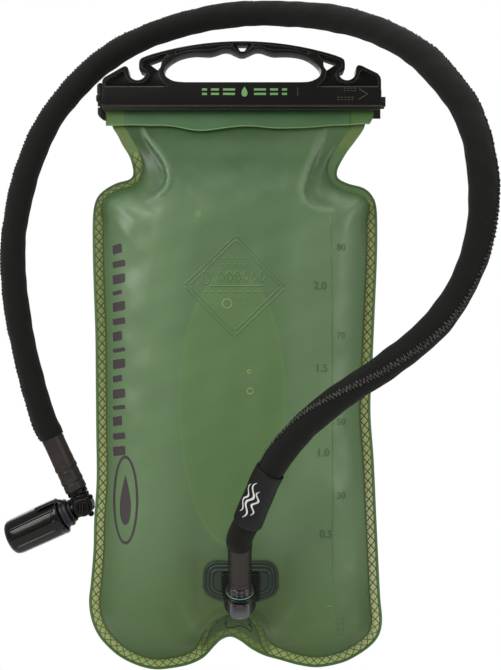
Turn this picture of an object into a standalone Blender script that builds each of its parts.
"""Three litre drinking reservoir with a slide-off closing bar, a quick-release
hose port, an insulated drinking hose and a shut-off mouthpiece under a cap.

Frame: +Z up (the reservoir hangs by its handle), +X to the right, the front
faces -Y.  Y = 0 is the plane of the weld between the two films and the middle
of the closing bar.  The origin is the seat on the underside of the handle.
All dimensions below are in millimetres and degrees; MM turns them into metres.

A shape is a pair (verts, faces).  Pieces on the port and the valve are drawn in
the frame of an empty whose Z axis runs along the hose there.
"""
import itertools
import math

import bmesh
import bpy
from mathutils import Vector

for old in list(bpy.data.objects):
    bpy.data.objects.remove(old, do_unlink=True)

MM = 0.001
SHARP_ANGLE = 35.0             # edges sharper than this stay crisp

# ------------------------------------------------------- shared dimensions
PORT = (-1.0, -32.0, -350.1)   # centre of the hose port's mouth
PORT_TILT = 26.0               # the port leans forward from +Z
PORT_HOLE_Z = -350.0           # axis of the hole through film and flange
FLANGE_CENTRE = (-0.6, -348.3)
FLANGE_W, FLANGE_H = 48.0, 27.5
FLANGE_REAR = -16.3            # Y of the flange's rear face
FLANGE_DEPTH = 2.8             # over all its steps

VALVE = (-108.5, 15.0, -302.9)  # corner of the valve elbow
VALVE_LEAN = -24.8             # about Y: the hose end leans to the left

TUBE_R, TUBE_BORE = 4.75, 3.2
SLEEVE_R, SLEEVE_BORE = 8.3, 5.1
BOOT_R, BOOT_BORE = 7.6, 5.15
HOSE_SPLIT = (135.5, -118.0, -108.0)  # where the hose may turn about itself


# --------------------------------------------------------------- materials
def material(name, colour, roughness, metallic=0.0):
    mat = bpy.data.materials.new(name)
    mat.use_nodes = True
    inputs = mat.node_tree.nodes["Principled BSDF"].inputs
    inputs["Base Color"].default_value = (*colour, 1)
    inputs["Roughness"].default_value = roughness
    inputs["Metallic"].default_value = metallic
    mat.diffuse_color = (*colour, 1)
    return mat


FILM_MAT = material("olive_film", colour=(0.11, 0.20, 0.09), roughness=0.35)
BLACK = material("black_moulding", colour=(0.015, 0.014, 0.013), roughness=0.45)
GREY = material("grey_button", colour=(0.30, 0.30, 0.30), roughness=0.4)
GREEN = material("dark_green_moulding", colour=(0.05, 0.065, 0.05), roughness=0.45)
SLEEVE_MAT = material("sleeve_fabric", colour=(0.018, 0.018, 0.018), roughness=0.85)
BAND_MAT = material("shrink_band", colour=(0.01, 0.01, 0.01), roughness=0.3)
TUBE_MAT = material("clear_tube", colour=(0.30, 0.33, 0.33), roughness=0.25)
BOOT_MAT = material("boot_rubber", colour=(0.11, 0.09, 0.085), roughness=0.4)
SEAL_MAT = material("seal_rubber", colour=(0.03, 0.03, 0.03), roughness=0.6)
SILICONE = material("grey_silicone", colour=(0.10, 0.12, 0.15), roughness=0.4)
STEEL = material("spring_steel", colour=(0.6, 0.6, 0.6), roughness=0.3, metallic=1.0)


# ----------------------------------------------------- objects and booleans
def frame(name, place, rotation):
    empty = bpy.data.objects.new(name, None)
    empty.location = Vector(place) * MM
    empty.rotation_euler = [math.radians(angle) for angle in rotation]
    bpy.context.scene.collection.objects.link(empty)
    return empty


def solid(name, shape, mat, parent=None, origin=(0, 0, 0), smooth=True):
    """Make an object of a shape, with the object's origin at the given point."""
    verts, faces = shape
    mesh = bpy.data.meshes.new(name)
    local = [Vector([c - o for c, o in zip(vert, origin)]) * MM for vert in verts]
    mesh.from_pydata(local, [], faces)
    bm = bmesh.new()
    bm.from_mesh(mesh)
    bmesh.ops.recalc_face_normals(bm, faces=bm.faces)
    bm.to_mesh(mesh)
    bm.free()
    mesh.materials.append(mat)
    if smooth:
        mesh.shade_smooth()
        mesh.set_sharp_from_angle(angle=math.radians(SHARP_ANGLE))
    piece = bpy.data.objects.new(name, mesh)
    bpy.context.scene.collection.objects.link(piece)
    piece.location = Vector(origin) * MM
    piece.parent = parent
    return piece


def boolean(piece, tool, operation):
    modifier = piece.modifiers.new(operation.lower(), 'BOOLEAN')
    modifier.object = tool
    modifier.operation = operation
    modifier.solver = 'EXACT'
    tool.hide_render = True
    tool.display_type = 'WIRE'


tool_numbers = itertools.count(1)   # cutters and joined parts share one series


def cut(piece, shape, parent=None):
    name = "cutter_%02d" % next(tool_numbers)
    boolean(piece, solid(name, shape, BLACK, parent, smooth=False), 'DIFFERENCE')


def join(piece, shape, parent=None):
    name = "joined_%02d" % next(tool_numbers)
    boolean(piece, solid(name, shape, BLACK, parent, smooth=False), 'UNION')


# ------------------------------------------------------------------- shapes
def lathe(profile, n, radius_at=lambda radius, z, k: radius):
    """Turn a closed (radius, z) profile about Z; radius_at may vary it round the turn."""
    verts, rings = [], []
    for radius, z in profile:
        start = len(verts)
        if radius == 0:
            verts.append((0.0, 0.0, z))
            rings.append([start] * n)
            continue
        for k in range(n):
            turn = 2 * math.pi * k / n
            reach = radius_at(radius, z, k)
            verts.append((reach * math.cos(turn), reach * math.sin(turn), z))
        rings.append(list(range(start, start + n)))
    faces = []
    for ring, following in zip(rings, rings[1:] + rings[:1]):
        if ring[0] == ring[1] and following[0] == following[1]:
            continue                # both are points on the axis
        for k in range(n):
            j = (k + 1) % n
            corners = (ring[k], ring[j], following[j], following[k])
            faces.append(list(dict.fromkeys(corners)))
    return verts, faces


def ring(inner, outer, z0, z1, n):
    return lathe([(inner, z0), (outer, z0), (outer, z1), (inner, z1)], n)


def cylinder(radius, z0, z1, n):
    return ring(0, radius, z0, z1, n)


def o_ring(radius, z, wire, n):
    turns = [2 * math.pi * i / 6 for i in range(6)]
    return lathe([(radius + wire * math.cos(t), z + wire * math.sin(t)) for t in turns], n)


def along_minus_x(shape):
    """Lay a turned shape down so that its +Z points along -X."""
    verts, faces = shape
    return [(-z, y, x) for x, y, z in verts], faces


def along_y(shape):
    """Lay a turned shape down so that its +Z points along +Y."""
    verts, faces = shape
    return [(x, z, -y) for x, y, z in verts], faces


def shift(shape, by):
    verts, faces = shape
    return [(x + by[0], y + by[1], z + by[2]) for x, y, z in verts], faces


def block(low, high):
    x0, y0, z0 = low
    x1, y1, z1 = high
    verts = [(x0, y0, z0), (x1, y0, z0), (x1, y1, z0), (x0, y1, z0),
             (x0, y0, z1), (x1, y0, z1), (x1, y1, z1), (x0, y1, z1)]
    faces = [(3, 2, 1, 0), (4, 5, 6, 7), (0, 1, 5, 4),
             (1, 2, 6, 5), (2, 3, 7, 6), (3, 0, 4, 7)]
    return verts, faces


def slab_faces(n):
    """Two end caps and the sides between two n-cornered outlines."""
    sides = [(i, (i + 1) % n, n + (i + 1) % n, n + i) for i in range(n)]
    return [tuple(range(n)), tuple(range(2 * n - 1, n - 1, -1))] + sides


def prism(outline, y0, y1):
    """A flat (x, z) outline given depth from y0 to y1."""
    return [(x, y, z) for y in (y0, y1) for x, z in outline], slab_faces(len(outline))


def plate(outline, z0, z1):
    """A flat (x, y) outline given height from z0 to z1."""
    return [(x, y, z) for z in (z0, z1) for x, y in outline], slab_faces(len(outline))


def loft(sections):
    """Skin equal-sized closed sections and cap both ends."""
    size = len(sections[0])
    verts = [point for section in sections for point in section]
    faces = []
    for start in range(0, len(verts) - size, size):
        for k in range(size):
            j = (k + 1) % size
            faces.append((start + k, start + j, start + size + j, start + size + k))
    faces.append(tuple(range(size)))
    faces.append(tuple(range(len(verts) - size, len(verts)))[::-1])
    return verts, faces


def arc(centre, radius, start, end, n):
    points = []
    for i in range(n + 1):
        angle = math.radians(start + (end - start) * i / n)
        points.append((centre[0] + radius * math.cos(angle),
                       centre[1] + radius * math.sin(angle)))
    return points


def spline(points, step):
    """Catmull-Rom curve through the points, sampled about every step mm."""
    points = [Vector(p) for p in points]
    extended = [points[0] * 2 - points[1]] + points + [points[-1] * 2 - points[-2]]
    path = []
    for p0, p1, p2, p3 in zip(extended, extended[1:], extended[2:], extended[3:]):
        n = max(1, int(round((p2 - p1).length / step)))
        for k in range(n):
            t = k / n
            path.append(0.5 * ((2 * p1) + (p2 - p0) * t
                               + (2 * p0 - 5 * p1 + 4 * p2 - p3) * t * t
                               + (3 * p1 - p0 - 3 * p2 + p3) * t ** 3))
    path.append(points[-1])
    return path


def sweep(path, outer, inner, n, first=None, last=None):
    """Round hose along a path (a rod when inner is 0).

    first and last, when given, are the directions of the path at its ends.
    """
    path = [Vector(p) for p in path]
    tangents = []
    for i in range(len(path)):
        before, after = path[max(0, i - 1)], path[min(len(path) - 1, i + 1)]
        tangents.append((after - before).normalized())
    if first is not None:
        tangents[0] = Vector(first).normalized()
    if last is not None:
        tangents[-1] = Vector(last).normalized()
    across = Vector((0, 1, 0))
    if abs(tangents[0].dot(across)) > 0.9:
        across = Vector((1, 0, 0))
    normal = (across - tangents[0] * across.dot(tangents[0])).normalized()

    radii = (outer, inner) if inner > 0 else (outer,)
    verts, stations = [], []        # stations[i][wall] is a ring of vertices
    for point, tangent in zip(path, tangents):
        normal = (normal - tangent * normal.dot(tangent)).normalized()
        binormal = tangent.cross(normal)
        walls = []
        for radius in radii:
            walls.append(list(range(len(verts), len(verts) + n)))
            for k in range(n):
                turn = 2 * math.pi * k / n
                spoke = normal * math.cos(turn) + binormal * math.sin(turn)
                verts.append(tuple(point + spoke * radius))
        stations.append(walls)

    faces = []
    for wall in range(len(radii)):
        for here, there in zip(stations, stations[1:]):
            a, b = here[wall], there[wall]
            for k in range(n):
                j = (k + 1) % n
                quad = (a[k], a[j], b[j], b[k])
                faces.append(quad if wall == 0 else quad[::-1])
    for end in (stations[0], stations[-1]):
        if len(end) == 1:
            faces.append(tuple(end[0]))
        else:
            a, b = end
            for k in range(n):
                j = (k + 1) % n
                faces.append((a[k], a[j], b[j], b[k]))
    return verts, faces


def coil(radius, wire, turns, length, per_turn, n_wire):
    """Helical spring rising along Z from z = 0."""
    steps = int(turns * per_turn)
    path = []
    for i in range(steps + 1):
        turn = 2 * math.pi * i / per_turn
        path.append((radius * math.cos(turn), radius * math.sin(turn), length * i / steps))
    return sweep(path, wire, 0, n_wire)


# --------------------------------------------- reservoir: the two films
FILM = 0.5                  # film thickness
SEAM_GAP = 0.3              # half gap between the two films in the weld
WELD = 7.3                  # width of the flat weld margin
FRONT_CROWN, BACK_CROWN = 22.0, 20.0   # how far each film bulges
EDGE_ROUND = 34.0           # distance inside the weld over which the bulge rises
NECK_Z, NECK_FADE = -46.0, 70.0        # the bulge starts here and grows downwards
TOP_Z = -41.0               # top edge of the films
SPINE_X = -4.6              # the films are spanned from the outline to this line
SPINE_TOP, SPINE_BOTTOM = -140.0, -310.0
NOTCH_Z, NOTCH_X = -380.0, -7.0        # the weld widens below this height, about this x
NOTCH_RISE, NOTCH_SPREAD = 13.0, 17.0
FLANGE_BED = 15.1           # bulge of the flat behind the port flange
FILM_HOLE_R = 8.2

# Rows run at these distances inside the weld, after one on the outline itself.
FILM_DEPTHS = (0.0, 3.0, 9.0, 19.0, 38.0)
PANEL_REACH = 0.8           # last row: share of the way to the spine

# Welded edge (x, z), clockwise seen from the front, from the top right.
RIGHT_SIDE = [
    (81.8, -47.7), (76.4, -55.8), (70.4, -63.8), (65.7, -71.8), (63.7, -77.0),
    (64.5, -81.5), (71.0, -85.0), (81.1, -87.9), (87.0, -93.0), (90.0, -101.0),
    (90.6, -118.0), (90.2, -140.0), (88.9, -170.0), (87.6, -200.0), (86.0, -236.0),
    (88.2, -270.0), (89.8, -305.0), (91.1, -333.0), (92.5, -361.0), (93.8, -377.0),
    (91.8, -387.0), (86.0, -394.5), (76.0, -401.5), (66.0, -406.0), (51.0, -408.8)]
NOTCH = [
    (38.0, -407.3), (26.0, -404.0), (14.7, -400.8), (6.0, -396.3), (-1.3, -391.0),
    (-7.4, -388.4), (-13.4, -390.1), (-18.0, -394.2), (-25.5, -402.1), (-35.0, -406.8)]
LEFT_SIDE = [
    (-46.0, -409.2), (-58.0, -410.2), (-70.0, -407.5), (-82.0, -401.5), (-91.5, -393.2),
    (-97.5, -385.0), (-101.2, -375.0), (-102.4, -364.0), (-101.2, -352.0), (-99.4, -330.0),
    (-98.9, -309.0), (-97.3, -283.0), (-97.6, -250.0), (-97.9, -215.0), (-98.2, -185.0),
    (-99.2, -156.0), (-99.8, -135.0), (-99.9, -110.0), (-98.2, -97.5), (-93.5, -90.5),
    (-84.5, -85.0), (-75.0, -82.0), (-72.8, -77.0), (-75.0, -67.8), (-79.7, -59.8),
    (-83.7, -52.0), (-86.4, -47.7)]
TOP_EDGE = [(x, TOP_Z) for x in (-87.5, -70.0, -50.0, -28.0, -4.6, 20.0, 42.0, 64.0, 82.5)]
OUTLINE = RIGHT_SIDE + NOTCH + LEFT_SIDE + TOP_EDGE


def weld_width(x, z):
    """The weld climbs over the notch at the bottom to clear the port."""
    if z < NOTCH_Z:
        return WELD + NOTCH_RISE * math.exp(-((x - NOTCH_X) / NOTCH_SPREAD) ** 2)
    return WELD


def bulge(z, inside, crown):
    """Bulge at height z and at a distance inside the weld."""
    neck = min(1.0, max(0.0, (NECK_Z - z) / NECK_FADE))
    neck = neck * neck * (3 - 2 * neck)
    edge = 1.0 - min(1.0, max(0.0, inside / EDGE_ROUND))
    return crown * neck * math.sqrt(max(0.0, 1.0 - edge * edge))


def flatten_at_flange(height, x, z, inside):
    """Hold the front film flat behind the port flange, easing off around it."""
    dx = max(0.0, abs(x - FLANGE_CENTRE[0]) - FLANGE_W / 2 - 1.0)
    dz = max(0.0, abs(z - FLANGE_CENTRE[1]) - FLANGE_H / 2 - 1.0)
    if dx + dz < 2.0 and inside > 4.0:
        return FLANGE_BED
    return min(height, FLANGE_BED + max(0.0, math.hypot(dx, dz) - 26.0) * 0.4)


def film_row(side, offset, crown, depth_at, on_edge=False):
    """One row of film points; depth_at(weld, span) is how far in from the outline."""
    row = []
    for x, z in OUTLINE:
        spine = Vector((SPINE_X, min(SPINE_TOP, max(SPINE_BOTTOM, z))))
        inward = spine - Vector((x, z))
        weld = weld_width(x, z)
        depth = depth_at(weld, inward.length)
        point = Vector((x, z)) + inward.normalized() * depth
        height = 0.0 if on_edge else bulge(point.y, depth - weld, crown)
        if side < 0:
            height = flatten_at_flange(height, point.x, point.y, depth - weld)
        row.append((point.x, side * (offset + height), point.y))
    return row


def film(name, side, crown):
    """A film on the front (side -1) or the back (side 1)."""
    n = len(OUTLINE)
    verts, layers = [], []
    for offset in (SEAM_GAP + FILM, SEAM_GAP):      # outside, then inside
        rows = [film_row(side, offset, crown, lambda weld, span: 0.0, on_edge=True)]
        for inside in FILM_DEPTHS:
            rows.append(film_row(side, offset, crown, lambda weld, span: weld + inside))
        rows.append(film_row(side, offset, crown, lambda weld, span: span * PANEL_REACH))
        indices = []
        for row in rows:
            indices.append(range(len(verts), len(verts) + n))
            verts.extend(row)
        layers.append(indices)

    def strip(a, b):
        return [(a[i], a[(i + 1) % n], b[(i + 1) % n], b[i]) for i in range(n)]

    faces = []
    for indices in layers:
        for a, b in zip(indices, indices[1:]):
            faces += strip(a, b)
        faces.append(tuple(indices[-1]))
    faces += strip(layers[0][0], layers[1][0])
    return solid(name, (verts, faces), FILM_MAT)


def build_films():
    front = film("front_wall", -1, FRONT_CROWN)
    film("back_wall", 1, BACK_CROWN)
    hole = along_y(cylinder(FILM_HOLE_R, -30, 10, 24))
    cut(front, shift(hole, (PORT[0], 0, PORT_HOLE_Z)))


# ------------------------------------------- folded mouth and its two rails
FOLD_LEFT, FOLD_RIGHT, FOLD_STEPS = -91.8, 89.1, 18
FOLD_OUT, FOLD_IN = 1.3, 0.3           # |Y| of the fold's outer and inner faces
FOLD_Z = -24.0                         # centre of the fold's bend
HEM_Z = -46.6
HEM_DIPS = [(-26.0, 17.0, 3.6), (30.0, 22.0, 2.0)]   # x, spread, depth

RAIL_IN, RAIL_OUT = 1.9, 4.7           # |Y| of the rails' faces
RAIL_TOP, RAIL_BOTTOM = -23.5, -34.0
RAIL_LEFT, RAIL_RIGHT = -93.3, 96.3
TAB_LEFT = -97.0                       # end of the tabs left of the rails
TAB_BOTTOM = -42.0
SKIRT_LEFT, SKIRT_RIGHT, SKIRT_BOTTOM = -90.0, 93.0, -41.0   # thin web below the rear rail
SKIRT_OUT = 2.7
OVERLAP = 0.05                         # joined tabs reach this far into the rail


def fold_section(x):
    """Closed section of the fold at x: the outer face, then the inner one."""
    hem = HEM_Z - sum(depth * math.exp(-((x - centre) / spread) ** 2)
                      for centre, spread, depth in HEM_DIPS)
    outer = [(FOLD_OUT, -40.3), (FOLD_OUT, -30.0), (FOLD_OUT, FOLD_Z)]
    outer += arc((0, FOLD_Z), FOLD_OUT, 45, 135, 2)
    outer += [(-FOLD_OUT, FOLD_Z), (-FOLD_OUT, -30.0), (-FOLD_OUT, -37.2),
              (-2.6, -42.0), (-3.8, hem)]
    inner = [(-2.8, hem), (-1.6, -42.0), (-FOLD_IN, -37.2), (-FOLD_IN, -30.0),
             (-FOLD_IN, FOLD_Z), (0.0, FOLD_Z + FOLD_IN),
             (FOLD_IN, FOLD_Z), (FOLD_IN, -30.0), (FOLD_IN, -40.3)]
    return [(x, y, z) for y, z in outer + inner]


def build_folded_mouth():
    """The top of both films, folded over to the front between the rails."""
    stations = [FOLD_LEFT + (FOLD_RIGHT - FOLD_LEFT) * i / FOLD_STEPS
                for i in range(FOLD_STEPS + 1)]
    solid("folded_mouth", loft([fold_section(x) for x in stations]), FILM_MAT)


def build_rails():
    """Two stiff rails clamp the fold; the bar slides along them."""
    web = [(RAIL_LEFT, RAIL_TOP), (RAIL_RIGHT, RAIL_TOP), (RAIL_RIGHT, RAIL_BOTTOM),
           (SKIRT_RIGHT, RAIL_BOTTOM), (SKIRT_RIGHT, SKIRT_BOTTOM),
           (SKIRT_LEFT, SKIRT_BOTTOM), (SKIRT_LEFT, RAIL_BOTTOM), (RAIL_LEFT, RAIL_BOTTOM)]
    rear = solid("rear_rail", prism(web, RAIL_IN, SKIRT_OUT), BLACK)
    join(rear, block((RAIL_LEFT, RAIL_IN, RAIL_BOTTOM), (RAIL_RIGHT, RAIL_OUT, RAIL_TOP)))
    join(rear, block((TAB_LEFT, RAIL_IN, TAB_BOTTOM), (RAIL_LEFT + OVERLAP, RAIL_OUT, -24.0)))
    join(rear, block((TAB_LEFT, RAIL_IN, TAB_BOTTOM), (SKIRT_LEFT + OVERLAP, RAIL_OUT, -37.1)))

    front = solid("front_rail", block((-93.4, -RAIL_OUT, RAIL_BOTTOM),
                                      (RAIL_RIGHT, -RAIL_IN, RAIL_TOP)), BLACK)
    join(front, block((TAB_LEFT, -5.6, -31.6), (RAIL_LEFT, -RAIL_IN, -25.6)))
    join(front, block((-96.4, -5.2, -26.0), (RAIL_LEFT, -RAIL_IN, -18.6)))


# -------------------------------------------------------- slider and handle
BAR_LEFT, BAR_RIGHT, BAR_BOTTOM = -92.9, 92.5, -36.6
BAR_HALF = 6.5              # half thickness of the closing bar
CHANNEL_HALF = 5.0          # channel for the rails
CHANNEL_TOP, CHANNEL_FLOOR = -20.6, -34.6
SLOT_HALF = 3.0             # slot through the floor for the films
WEB_HALF, MIDDLE_WEB_HALF = 3.2, 2.6   # half thickness left between pockets
ARCH_R, ARCH_TOP = 211.0, 8.8
LUG_NOTCH_R = 5.8
PAST = 9                    # |Y| of cutters, beyond both faces of the bar
PAST_END = 120              # |X| of cutters, beyond both ends of the bar

# Outlines below are (x, z).
ARCH_X = (62, 54, 46, 38, 30, 22, 14, 7, 0, -7, -14, -22, -30, -38, -46, -54, -62)
LEFT_HOOK = [(-66.3, -2.2), (-68.0, -3.6), (-68.4, -6.0), (-68.3, -10.0), (-67.3, -11.1),
             (-65.2, -11.6)]
LEFT_LUG = [(-75.6, -9.3), (-76.2, -8.2), (-77.4, -7.7), (-79.0, -8.1), (-91.4, -15.2),
            (-92.6, -16.5), (BAR_LEFT, -18.2)]
RIGHT_LUG = [(BAR_RIGHT, -17.0), (92.0, -14.8), (90.4, -12.7), (79.3, -7.3), (77.6, -7.0),
             (76.4, -7.6), (75.8, -9.0)]
RIGHT_HOOK = [(65.2, -11.6), (67.3, -11.1), (68.4, -10.0), (68.5, -6.0), (68.1, -3.6),
              (66.3, -2.2)]
# Hand opening with finger scallops; its flat at z = 0 is the hanging seat.
HAND_OPENING = [
    (-51.8, -10.6), (-51.4, -8.6), (-50.1, -6.6), (-47.4, -4.2), (-44.7, -2.5), (-41.5, -0.9),
    (-36.0, 0.6), (-31.0, 1.2), (-26.0, 1.0), (-21.4, 0.9), (-17.0, 1.9), (-13.5, 3.2),
    (-10.7, 3.6), (-8.0, 3.1), (-5.5, 1.6), (-3.5, 0.0), (3.5, 0.0), (5.5, 1.6), (8.0, 3.1),
    (10.7, 3.6), (13.5, 3.2), (17.0, 1.9), (21.4, 0.9), (26.0, 1.0), (31.0, 1.0), (36.5, 0.4),
    (41.5, -0.9), (45.4, -2.8), (48.6, -5.2), (51.3, -8.0), (52.5, -10.6), (52.3, -13.0),
    (50.8, -15.2), (47.6, -17.1), (44.0, -18.1), (39.0, -18.4), (-38.5, -18.4),
    (-43.8, -17.9), (-46.8, -17.0), (-50.0, -15.0), (-51.5, -12.8)]
# Small through holes: left, right and middle of the handle.
SMALL_HOLES = [
    [(-61.6, -5.9), (-61.2, -5.2), (-53.7, -2.4), (-52.8, -2.9), (-54.2, -8.7), (-55.2, -9.8),
     (-56.4, -9.7)],
    [(62.4, -6.0), (62.0, -5.3), (54.6, -2.8), (53.8, -3.2), (54.4, -8.0), (55.6, -9.9),
     (56.8, -9.9)],
    [(-3.1, 6.9), (-2.7, 7.2), (3.3, 7.2), (3.7, 6.9), (3.5, 6.0), (2.3, 3.9), (1.0, 2.5),
     (-0.4, 2.5), (-1.7, 3.9), (-2.9, 6.0)]]
MIDDLE_POCKET = [(-6.6, 7.35), (7.2, 7.35), (5.6, 4.2), (3.4, 1.9), (-2.8, 1.9), (-5.0, 4.2)]
LEFT_POCKET = [
    (-90.9, -21.2), (-90.9, -18.0), (-79.2, -11.1), (-77.6, -12.4), (-76.6, -15.6),
    (-73.9, -18.3), (-69.5, -19.3), (-65.1, -18.3), (-62.6, -15.6), (-61.9, -12.6),
    (-63.4, -10.3), (-66.2, -8.9), (-66.2, -5.2), (-64.8, -3.9), (-61.5, -2.7), (-56.0, -1.1),
    (-50.5, 0.6), (-50.0, -0.6), (-53.0, -3.6), (-54.9, -7.2), (-55.5, -11.0), (-54.6, -15.4),
    (-51.8, -18.9), (-49.0, -21.2)]
RIGHT_POCKET = [
    (90.6, -21.2), (90.6, -16.2), (89.2, -14.0), (79.6, -10.2), (78.0, -11.8), (77.0, -15.6),
    (74.3, -18.3), (69.9, -19.3), (65.5, -18.3), (63.0, -15.6), (62.3, -12.6), (63.6, -10.3),
    (66.3, -8.9), (66.3, -5.2), (64.8, -3.9), (61.5, -2.7), (56.0, -1.1), (51.0, 0.4),
    (50.6, -0.6), (53.6, -3.6), (55.5, -7.2), (56.1, -11.0), (55.2, -15.4), (52.4, -18.9),
    (49.6, -21.2)]


def build_slider():
    arch = [(x, ARCH_TOP - (ARCH_R - math.sqrt(ARCH_R ** 2 - x * x))) for x in ARCH_X]
    foot = [(BAR_LEFT, BAR_BOTTOM + 1.0), (BAR_LEFT + 0.6, BAR_BOTTOM),
            (BAR_RIGHT - 0.6, BAR_BOTTOM), (BAR_RIGHT, BAR_BOTTOM + 1.0)]
    outline = (arch + LEFT_HOOK + arc((-69.5, -11.3), LUG_NOTCH_R, -15, -175, 10) + LEFT_LUG
               + foot
               + RIGHT_LUG + arc((69.9, -11.3), LUG_NOTCH_R, -5, -165, 10) + RIGHT_HOOK)
    slider = solid("slider_handle", prism(outline, -BAR_HALF, BAR_HALF), BLACK)
    cut(slider, prism(HAND_OPENING, -PAST, PAST))
    cut(slider, block((-PAST_END, -CHANNEL_HALF, CHANNEL_FLOOR),
                      (PAST_END, CHANNEL_HALF, CHANNEL_TOP)))
    cut(slider, block((-PAST_END, -SLOT_HALF, -40), (PAST_END, SLOT_HALF, CHANNEL_FLOOR + 0.5)))
    for hole in SMALL_HOLES:
        cut(slider, prism(hole, -PAST, PAST))
    # pockets in both faces leave a rim and a thinner web
    for pocket, web_half in ((MIDDLE_POCKET, MIDDLE_WEB_HALF), (LEFT_POCKET, WEB_HALF),
                             (RIGHT_POCKET, WEB_HALF)):
        cut(slider, prism(pocket, -PAST, -web_half))
        cut(slider, prism(pocket, web_half, PAST))


# ----------------------------------------------------- port in the front film
FLANGE_CORNER_R = 8.5
# Steps of the flange: inset, then front and rear faces measured forward of its rear.
FLANGE_STEPS = [(0, 1.2, 0), (2.2, 2.0, 0.4), (4.6, FLANGE_DEPTH, 0.6)]
HOUSING_REAR = FLANGE_REAR - FLANGE_DEPTH - 0.3

# Profiles are (radius, z); z = 0 is the port's mouth.
HOUSING_PROFILE = [(0, -15.4), (6.6, -15.4), (9.4, -13.2), (10.4, -10.6), (10.4, -0.8),
                   (9.8, 0), (0, 0)]
CUP_PROFILE = [(0, -13.9), (5.6, -13.9), (5.6, -7.7), (3.2, -7.7), (3.2, -6.7), (6.2, -6.7),
               (6.2, 5), (0, 5)]
POPPET_PROFILE = [(0, -11.6), (4.8, -11.6), (4.8, -10.4), (1.6, -10.4), (1.6, -6.8), (0, -6.8)]
# Block between housing and flange, (x, z) in the reservoir's frame.
CARRIER = [(-13.0, -351.5), (-12.2, -356.0), (-10.4, -359.0), (9.6, -359.2), (11.4, -358.4),
           (12.0, -343.0), (10.8, -340.9), (-12.0, -340.9), (-13.2, -342.2)]

BUTTON_Z = -10.0                       # axis of the button spring
LATCH_BOTTOM, LATCH_TOP = -4.4, -3.2
TONGUE = [(-6.2, -1.1), (6.2, -1.1), (6.2, -8.6), (5.6, -10.6), (4.2, -12.0), (1.8, -12.7),
          (-1.8, -12.7), (-4.2, -12.0), (-5.6, -10.6), (-6.2, -8.6)]     # (x, z)
LATCH = [(-8.2, 6.0), (8.2, 6.0), (8.2, -6.0), (6.4, -8.1), (-6.4, -8.1), (-8.2, -6.0)]  # (x, y)


def flange_outline(inset):
    """Rounded top corners and chamfered lower corners, mirrored left and right."""
    half_w, half_h = FLANGE_W / 2 - inset, FLANGE_H / 2 - inset
    radius = max(3.0, FLANGE_CORNER_R - inset)
    half = arc((half_w - radius, half_h - radius), radius, 90, 0, 5)
    half += [(half_w, -half_h * 0.30), (half_w * 0.86, -half_h * 0.72), (half_w * 0.50, -half_h)]
    centre_x, centre_z = FLANGE_CENTRE
    return [(centre_x + x, centre_z + z)
            for x, z in half + [(-x, z) for x, z in reversed(half)]]


def build_flange():
    steps = [prism(flange_outline(inset), FLANGE_REAR - front, FLANGE_REAR - rear)
             for inset, front, rear in FLANGE_STEPS]
    flange = solid("port_flange", steps[0], GREEN)
    for step in steps[1:]:
        join(flange, step)
    hole_centre = (PORT[0], FLANGE_REAR, PORT_HOLE_Z)
    join(flange, shift(along_y(cylinder(7.5, -1.0, 5.3, 24)), hole_centre))
    cut(flange, shift(along_y(cylinder(5.0, -9, 9, 20)), hole_centre))

    backing = lathe([(7.9, 0), (9.6, 0), (9.6, 1.4), (9.0, 2.0), (7.9, 2.0)], 24)
    solid("port_backing_ring", shift(along_y(backing), (PORT[0], -14.5, PORT_HOLE_Z)), GREEN)


def build_housing(port):
    """A cup leaning forward, carried on a block that sits on the flange."""
    housing = solid("port_housing", lathe(HOUSING_PROFILE, 32), BLACK, port)
    join(housing, prism(CARRIER, -25.0, -14.0))
    cut(housing, block((-60, HOUSING_REAR, -420), (60, 40, -300)))
    cut(housing, block((-7.0, -20, -20), (7.0, -8.6, -0.9)), port)      # bed of the button
    cut(housing, cylinder(9.1, 0.12, 14, 26), port)
    core = solid("cup_core", lathe(CUP_PROFILE, 28), BLACK, port)
    join(core, block((-8.63, -15, -4.72), (8.63, 6.57, -2.93)), port)   # slot for the latch
    boolean(housing, core, 'DIFFERENCE')
    cut(housing, shift(along_y(cylinder(2.3, -0.2, 1.7, 16)), (0, -8.6, BUTTON_Z)), port)
    cut(housing, shift(along_y(cylinder(3.0, -4, 12, 16)), (PORT[0], -25.5, -355.0)))


def build_poppet(port):
    """Shut-off poppet under the plug with its seal, and the two springs."""
    solid("shutoff_poppet", lathe(POPPET_PROFILE, 20), BLACK, port)
    solid("poppet_seal", ring(1.9, 4.6, -10.1, -9.5, 20), SEAL_MAT, port)
    spring = coil(radius=3.6, wire=0.25, turns=2.0, length=1.2, per_turn=12, n_wire=5)
    solid("poppet_spring", shift(spring, (0, 0, -13.3)), STEEL, port)
    spring = coil(radius=1.6, wire=0.2, turns=3.0, length=1.3, per_turn=10, n_wire=4)
    solid("button_spring", shift(along_y(spring), (0, -8.55, BUTTON_Z)), STEEL, port)


def build_button(port):
    """Thumb button with the latch plate that rings the plug."""
    button = solid("release_button", prism(TONGUE, -12.2, -10.7), GREY, port)
    join(button, block((-4.2, -11.2, LATCH_BOTTOM), (4.2, -7.6, LATCH_TOP)), port)
    join(button, plate(LATCH, LATCH_BOTTOM, LATCH_TOP), port)
    cut(button, shift(cylinder(6.15, -6, -2, 28), (0, -0.6, 0)), port)
    cut(button, block((-9, 4.2, -6), (9, 12, -2)), port)    # opens the ring at the rear


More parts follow.
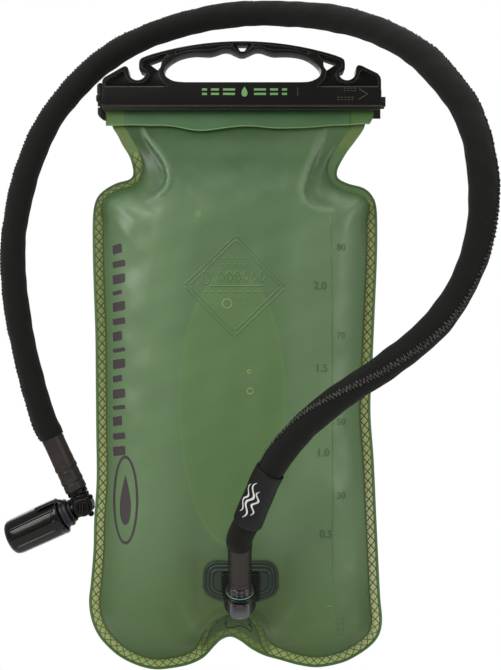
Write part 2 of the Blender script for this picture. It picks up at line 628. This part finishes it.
# ----------------------------------------------------------- plug and hose
PLUG_PROFILE = [
    (2.2, -6.5), (5.7, -6.5), (5.8, -6.3), (4.2, -6.25), (4.2, -5.05), (5.8, -5.0),
    (5.8, -4.85), (4.9, -4.8), (4.9, -2.8), (5.8, -2.75), (5.8, -2.4), (4.1, -2.35),
    (4.1, -0.85), (5.8, -0.8), (5.8, 0.4), (8.3, 0.4), (8.5, 0.9), (8.5, 2.9), (8.1, 3.4),
    (4.0, 3.4), (2.85, 5.0), (2.9, 22.0), (2.6, 24.0), (2.2, 24.0)]
LOWER_BOOT_PROFILE = [
    (BOOT_BORE, 3.8), (7.2, 3.8), (BOOT_R, 4.4), (BOOT_R, 8.0), (7.3, 8.4), (7.3, 9.4),
    (BOOT_R, 9.8), (BOOT_R, 35.6), (BOOT_BORE, 35.6)]

TILT, LEAN = math.radians(PORT_TILT), math.radians(VALVE_LEAN)
PORT_AXIS = Vector((0, -math.sin(TILT), math.cos(TILT)))    # out of the port
VALVE_AXIS = Vector((math.sin(LEAN), 0, math.cos(LEAN)))    # up the hose from the valve


def above_port(distance):
    return Vector(PORT) + PORT_AXIS * distance


def above_valve(distance):
    return Vector(VALVE) + VALVE_AXIS * distance


# The lie of the hose: out of the port, across the front to the right, over
# the top above the handle and down the left side.
LOWER_LIE = [
    above_port(36.0), above_port(42.0), (4.8, -57, -299), (10.0, -61, -286),
    (18.7, -69, -266.7), (35.1, -79, -243.5), (58.0, -89, -222.7), (83.2, -98, -204.8),
    (108.0, -106, -183.6), (123.5, -112, -161.1), (132.6, -116.5, -136.0), HOSE_SPLIT]
UPPER_LIE = [
    HOSE_SPLIT, (132.6, -116.5, -80.0), (126.8, -110, -58.5), (118.5, -102, -42.7),
    (106.9, -89, -24.2), (91.4, -72, -7.9), (73.5, -53, 5.8), (53.1, -35, 16.0),
    (30.8, -18, 23.1), (7.2, -5, 27.5), (-16.9, 4, 27.9), (-41.1, 9, 24.0),
    (-64.4, 12, 17.0), (-86.4, 13, 6.0), (-107.9, 13, -11.4), (-130.9, 12.5, -39.9),
    (-145.9, 12, -74.0), (-154.1, 12, -109.4), (-155.9, 12, -137.0), (-152.9, 12.3, -170.7),
    (-145.8, 13.2, -206.9), (-136.7, 14.4, -240.4), above_valve(51.2)]
HOSE_STEP, BAND_STEP = 21.0, 3.0
HALF_SPLIT = Vector((0, 0, 0.2))       # half the gap between the two hose lengths
SPLIT_AXIS = (0, 0, 1)
BAND_START, BAND_END = 17.5, 58.0      # distances along the lower sleeve


def build_plug(port):
    solid("plug_o_ring_upper", o_ring(4.95, -1.6, 0.5, 16), SEAL_MAT, port)
    solid("plug_o_ring_lower", o_ring(4.95, -5.65, 0.42, 16), SEAL_MAT, port)
    solid("hose_plug", lathe(PLUG_PROFILE, 16), BLACK, port)
    solid("lower_boot", lathe(LOWER_BOOT_PROFILE, 16), BOOT_MAT, port)


def build_hose():
    """Sleeve and tube in two lengths that meet at the split."""
    lower = spline(LOWER_LIE, HOSE_STEP)
    lower[-1] = Vector(HOSE_SPLIT) - HALF_SPLIT
    upper = spline(UPPER_LIE, HOSE_STEP)
    upper[0] = Vector(HOSE_SPLIT) + HALF_SPLIT
    upper[-1] = above_valve(51.4)
    # name, sleeve path, tube path, directions at both ends, origin
    lengths = [
        ("lower", lower, [above_port(5.2), above_port(20.0)] + lower,
         PORT_AXIS, SPLIT_AXIS, PORT),
        ("upper", upper, upper + [above_valve(30.0), above_valve(13.0)],
         SPLIT_AXIS, -VALVE_AXIS, HOSE_SPLIT)]
    for name, sleeve_path, tube_path, first, last, origin in lengths:
        sleeve = sweep(sleeve_path, SLEEVE_R, SLEEVE_BORE, 10, first, last)
        solid("insulation_sleeve_" + name, sleeve, SLEEVE_MAT, origin=origin)
        tube = sweep(tube_path, TUBE_R, TUBE_BORE, 8, first, last)
        solid("drinking_tube_" + name, tube, TUBE_MAT, origin=origin)


def build_label_band():
    """Smooth shrink band round the sleeve, above the port."""
    path = spline(LOWER_LIE, BAND_STEP)
    travelled, covered = 0.0, []
    for point, following in zip(path, path[1:]):
        if BAND_START <= travelled <= BAND_END:
            covered.append(point)
        travelled += (following - point).length
    band = sweep(covered, SLEEVE_R + 1.3, SLEEVE_R + 0.8, 14)
    solid("label_band", band, BAND_MAT, origin=PORT)


# ------------------------------------------------------ shut-off and mouthpiece
# In the valve's frame the hose comes in along +Z, the mouthpiece points along
# -X and the knob faces the front.  Profiles are (radius, distance on the axis).
UPPER_BOOT_PROFILE = [
    (BOOT_BORE, 11.9), (7.2, 11.9), (7.5, 12.6), (7.5, 24.6), (7.9, 25.0), (7.9, 27.0),
    (7.5, 27.4), (7.5, 29.4), (7.9, 29.8), (7.9, 31.8), (BOOT_R, 32.2), (BOOT_R, 50.9),
    (BOOT_BORE, 50.9)]
BARB_PROFILE = [
    (2.0, 4.95), (3.3, 4.95), (3.4, 5.1), (3.4, 5.3), (2.8, 5.35), (2.8, 6.75), (3.4, 6.8),
    (3.4, 8.5), (6.8, 8.5), (7.1, 9.0), (7.1, 11.2), (6.8, 11.6), (4.0, 11.6), (2.85, 12.8),
    (2.9, 28.0), (2.6, 30.0), (2.0, 30.0)]
ELBOW_RISER = [(0, -5.4), (5.2, -5.4), (6.6, -4.2), (6.6, 7.2), (6.0, 8.2), (0, 8.2)]
ELBOW_SPOUT = [(0, 0), (6.3, 0), (6.3, 8.4), (5.8, 9.6), (4.4, 9.8), (4.4, 19.4), (4.0, 20.0),
               (0, 20.0)]
ELBOW_DRUM = [(0, -6.3), (7.6, -6.3), (7.6, 5.6), (6.8, 6.6), (0, 6.6)]
ELBOW_SOCKET = [(0, 1.0), (1.9, 1.0), (1.9, 4.9), (4.0, 4.9), (4.0, 12), (0, 12)]
ROTOR_PROFILE = [(0, -9.4), (2.0, -9.4), (2.0, -6.6), (3.95, -6.6), (3.95, -5.6), (3.1, -5.55),
                 (3.1, -4.25), (3.95, -4.2), (3.95, 4.6), (0, 4.6)]
KNOB_PROFILE = [(0, -9.9), (6.2, -9.9), (7.2, -9.0), (7.2, -7.4), (6.6, -6.9), (0, -6.9)]
KNOB_BUMP = [(0, -9.6), (1.5, -9.6), (1.9, -9.0), (1.9, -7.2), (0, -7.2)]
KNOB_BUMP_ANGLES, KNOB_BUMP_REACH = (21.0, -51.0), 6.7
MOUTH_PROFILE = [
    (0, 10.2), (9.0, 10.2), (9.6, 10.8), (9.6, 12.2), (8.9, 12.6), (8.9, 13.2), (9.6, 13.6),
    (9.6, 15.0), (9.2, 15.4), (7.6, 16.0), (7.6, 24.0), (8.6, 34.0), (8.4, 41.0), (6.2, 45.6),
    (3.0, 47.0), (0, 47.2)]
MOUTH_BORE = [(0, 5), (4.75, 5), (4.75, 20.4), (3.0, 22.0), (3.0, 40.0), (0, 42.0)]

CAP_INSIDE = [(0, 51.5), (8.6, 50.4), (10.9, 46.0), (10.9, 16.6), (11.2, 15.8)]
CAP_GROOVED = [(12.7, 46.0), (12.2, 49.5), (10.6, 52.6)]    # where the grooves are cut
CAP_OUTSIDE = [(12.0, 15.8), (12.7, 16.4)] + CAP_GROOVED + [(7.4, 54.6), (3.2, 55.4), (0, 55.5)]
CAP_GROOVES, CAP_GROOVE_DEPTH = 12, 0.55
CAP_SIDES_PER_GROOVE = 4

LEASH_TILT = 34.0           # the strap is turned this far from the top to the front
LEASH_STATIONS = [(-8.2, 7.2), (-9.3, 8.4), (-11.0, 11.0), (-13.5, 13.3), (-17.0, 13.9),
                  (-23.0, 13.9), (-27.0, 13.9)]     # x, distance from the X axis
LEASH_SECTION = [(-1.5, -0.5), (1.5, -0.5), (1.5, 0.5), (-1.5, 0.5)]    # across, outwards


def build_valve_hose_end(valve):
    solid("upper_boot", lathe(UPPER_BOOT_PROFILE, 16), BOOT_MAT, valve)
    solid("hose_barb", lathe(BARB_PROFILE, 14), BLACK, valve)
    solid("swivel_o_ring", o_ring(3.35, 6.05, 0.4, 14), SEAL_MAT, valve)


def build_elbow(valve):
    elbow = solid("valve_elbow", lathe(ELBOW_RISER, 28), BLACK, valve)
    join(elbow, along_minus_x(lathe(ELBOW_SPOUT, 26)), valve)
    join(elbow, along_y(lathe(ELBOW_DRUM, 30)), valve)
    cut(elbow, along_y(cylinder(4.28, -12.1, 4.93, 22)), valve)
    cut(elbow, lathe(ELBOW_SOCKET, 18), valve)
    cut(elbow, along_minus_x(cylinder(1.85, 1.5, 30, 14)), valve)


def build_rotor(valve):
    rotor = solid("shutoff_rotor", along_y(lathe(ROTOR_PROFILE, 24)), BLACK, valve)
    bore = cylinder(1.8, -0.4, 8, 14)
    cut(rotor, bore, valve)
    cut(rotor, along_minus_x(bore), valve)
    solid("rotor_o_ring", along_y(o_ring(3.75, -4.9, 0.38, 14)), SEAL_MAT, valve)


def build_knob(valve):
    knob = solid("shutoff_knob", along_y(lathe(KNOB_PROFILE, 28)), BLACK, valve)
    for angle in KNOB_BUMP_ANGLES:
        place = (KNOB_BUMP_REACH * math.cos(math.radians(angle)), 0,
                 KNOB_BUMP_REACH * math.sin(math.radians(angle)))
        join(knob, shift(along_y(lathe(KNOB_BUMP, 12)), place), valve)
    cut(knob, along_y(cylinder(2.3, -12, -5, 16)), valve)


def build_mouthpiece(valve):
    """Its ring shows between the elbow and the cap; a slit opens its tip."""
    mouth = solid("mouthpiece", along_minus_x(lathe(MOUTH_PROFILE, 20)), SILICONE, valve)
    cut(mouth, along_minus_x(lathe(MOUTH_BORE, 14)), valve)
    cut(mouth, block((-50, -3.2, -0.25), (-38, 3.2, 0.25)), valve)


def build_cap(valve):
    """Cap over the mouthpiece, grooved lengthwise."""
    def grooved(radius, z, k):
        in_groove = k % CAP_SIDES_PER_GROOVE == 0 and (radius, z) in CAP_GROOVED
        return radius - CAP_GROOVE_DEPTH if in_groove else radius

    sides = CAP_GROOVES * CAP_SIDES_PER_GROOVE
    cap = lathe(CAP_INSIDE + CAP_OUTSIDE, sides, grooved)
    solid("mouthpiece_cap", along_minus_x(cap), BLACK, valve)


def build_leash(valve):
    """Leash that keeps the cap with the valve: a ring and a strap."""
    leash = solid("cap_leash", along_minus_x(ring(6.65, 7.7, 7.7, 9.7, 24)), BLACK, valve)
    tilt = math.radians(LEASH_TILT)
    outwards = Vector((0, -math.sin(tilt), math.cos(tilt)))
    across = Vector((0, math.cos(tilt), math.sin(tilt)))
    sections = [[tuple(Vector((x, 0, 0)) + outwards * (reach + rise) + across * width)
                 for width, rise in LEASH_SECTION] for x, reach in LEASH_STATIONS]
    join(leash, loft(sections), valve)


# -------------------------------------------------------------------- build
# The order fixes the numbers of the cutters and joined parts.
build_films()
build_folded_mouth()
build_rails()
build_slider()

port_frame = frame("port_frame", PORT, (PORT_TILT, 0, 0))
build_flange()
build_housing(port_frame)
build_poppet(port_frame)
build_button(port_frame)
build_plug(port_frame)
build_hose()
build_label_band()

valve_frame = frame("valve_frame", VALVE, (0, VALVE_LEAN, 0))
build_valve_hose_end(valve_frame)
build_elbow(valve_frame)
build_rotor(valve_frame)
build_knob(valve_frame)
build_mouthpiece(valve_frame)
build_cap(valve_frame)
build_leash(valve_frame)
